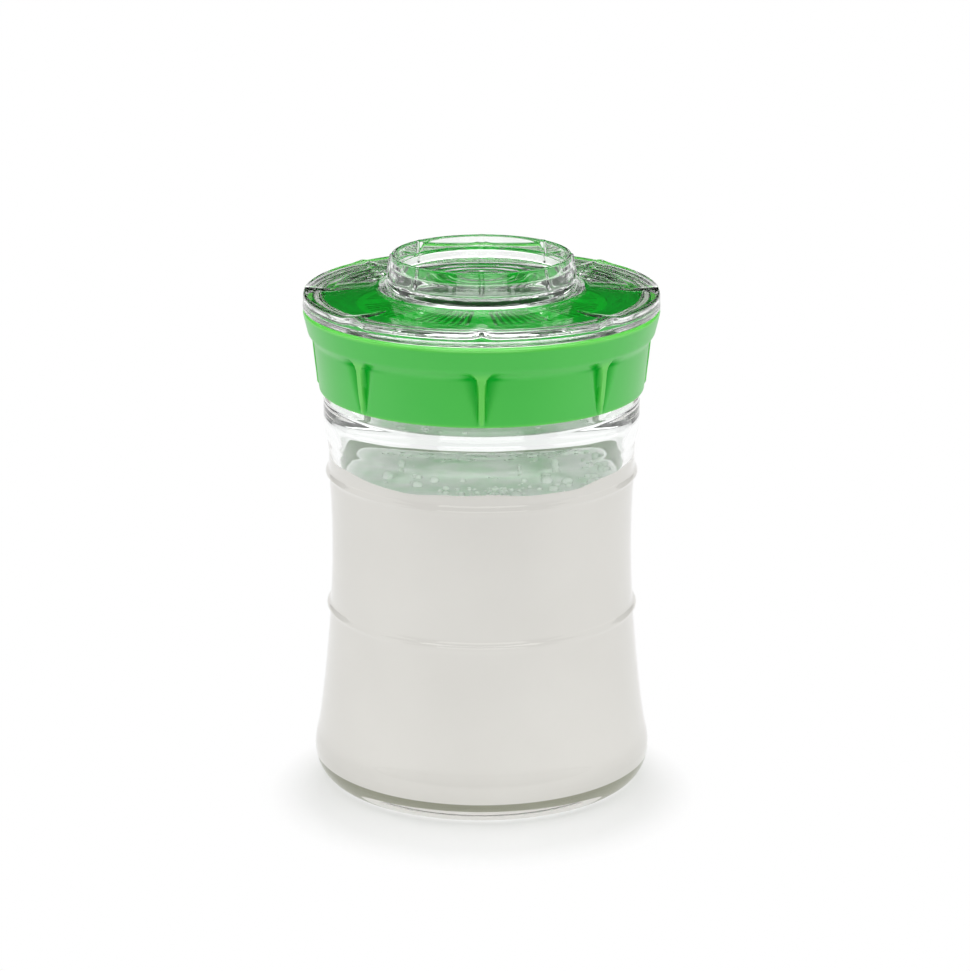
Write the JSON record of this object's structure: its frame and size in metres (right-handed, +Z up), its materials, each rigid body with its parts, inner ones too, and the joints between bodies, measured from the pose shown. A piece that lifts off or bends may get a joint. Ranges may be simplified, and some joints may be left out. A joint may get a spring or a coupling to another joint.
{
  "type": "fermenting jar",
  "caption": "Waisted glass jar for making kefir, filled, with a ribbed green screw ring, a slotted strainer and a clear pleated cap with a round collar.",
  "frame": {"origin": "centre of the ring that the jar stands on, on the table's surface", "axes": "+Z up along the jar's axis; -Y is the front that the picture shows"},
  "size_m": [0.1104, 0.1104, 0.1672],
  "materials": {
    "jar_glass": "clear polished soda-lime glass",
    "green_plastic": "satin moulded plastic, bright green",
    "clear_plastic": "clear polished moulded plastic",
    "silicone": "matt translucent white silicone",
    "kefir": "thick white cultured milk with a wet top"
  },
  "bodies": {
    "jar": {"glass_jar": "jar_glass", "kefir_fill": "kefir"},
    "seal": {"jar_seal": "silicone"},
    "ring": {"screw_ring": "green_plastic"},
    "strainer": {"strainer": "green_plastic"},
    "cap_seal": {"cap_seal": "silicone"},
    "cap": {"clear_cap": "clear_plastic"}
  },
  "joints": [
    {"name": "ring_rise", "type": "slide", "parent": "jar", "child": "seal", "axis": [0, 0, 1], "range_m": [0, 0.0059]},
    {"name": "ring_turn", "type": "hinge", "parent": "seal", "child": "ring", "pos_m": [0, 0, 0.138], "axis": [0, 0, 1], "range_deg": [0, 420]},
    {"name": "strainer_drop", "type": "slide", "parent": "ring", "child": "strainer", "axis": [0, 0, -1], "range_m": [0, 0.02]},
    {"name": "cap_lift", "type": "slide", "parent": "ring", "child": "cap_seal", "axis": [0, 0, 1], "range_m": [0, 0.06]},
    {"name": "cap_turn", "type": "hinge", "parent": "cap_seal", "child": "cap", "pos_m": [0, 0, 0.155], "axis": [0, 0, 1], "continuous": true}
  ],
  "couplings": [
    {"joint": "ring_rise", "follows": "ring_turn", "m_per_rad": 0.00079577}
  ]
}
